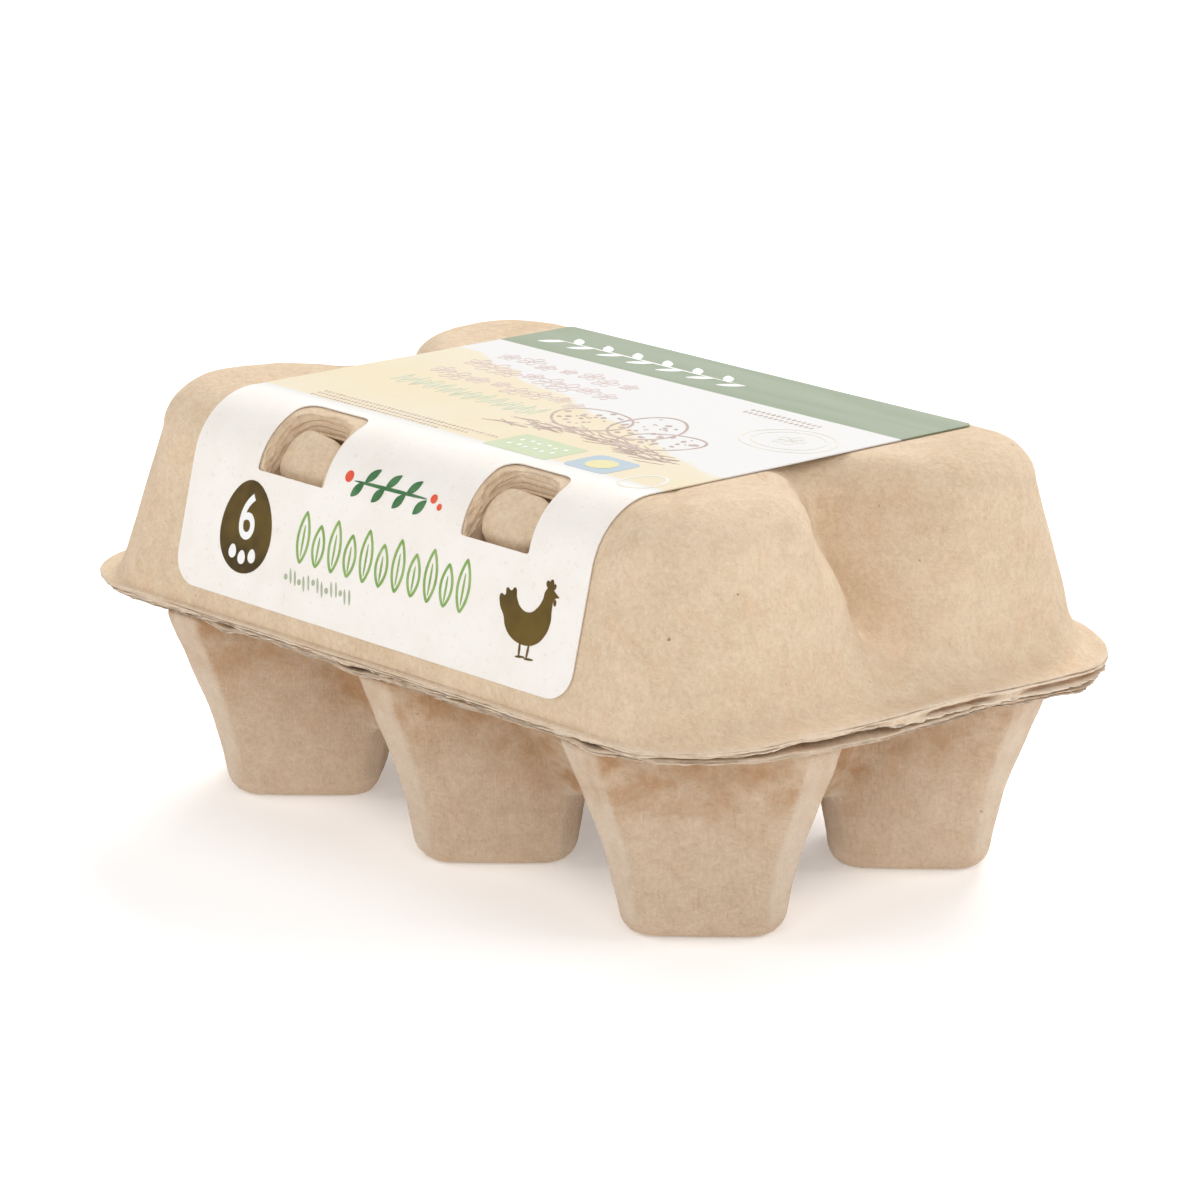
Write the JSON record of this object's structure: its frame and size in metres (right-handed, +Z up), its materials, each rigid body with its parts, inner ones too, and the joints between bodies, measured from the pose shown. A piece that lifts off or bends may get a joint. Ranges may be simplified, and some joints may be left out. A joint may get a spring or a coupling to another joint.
{
  "type": "egg carton",
  "caption": "Shut moulded-pulp egg carton: tray of tapered cups, domed lid with end valleys, two lock knobs, and a paper label folded over the lid's front edge.",
  "frame": {"origin": "middle of the carton's plan, on the surface it stands on", "axes": "+X along the long side, to the right as one faces the labelled side, -Y out of the labelled long side, +Z up"},
  "size_m": [0.154, 0.1008, 0.0706],
  "materials": {
    "lid_pulp": "matt, fibrous",
    "tray_pulp": "matt, fibrous",
    "label_paper": "smooth, matt"
  },
  "bodies": {
    "root": {"tray": "tray_pulp", "lid": "lid_pulp", "lock_knob_left": "lid_pulp", "lock_knob_right": "lid_pulp", "label": "label_paper"}
  },
  "joints": []
}
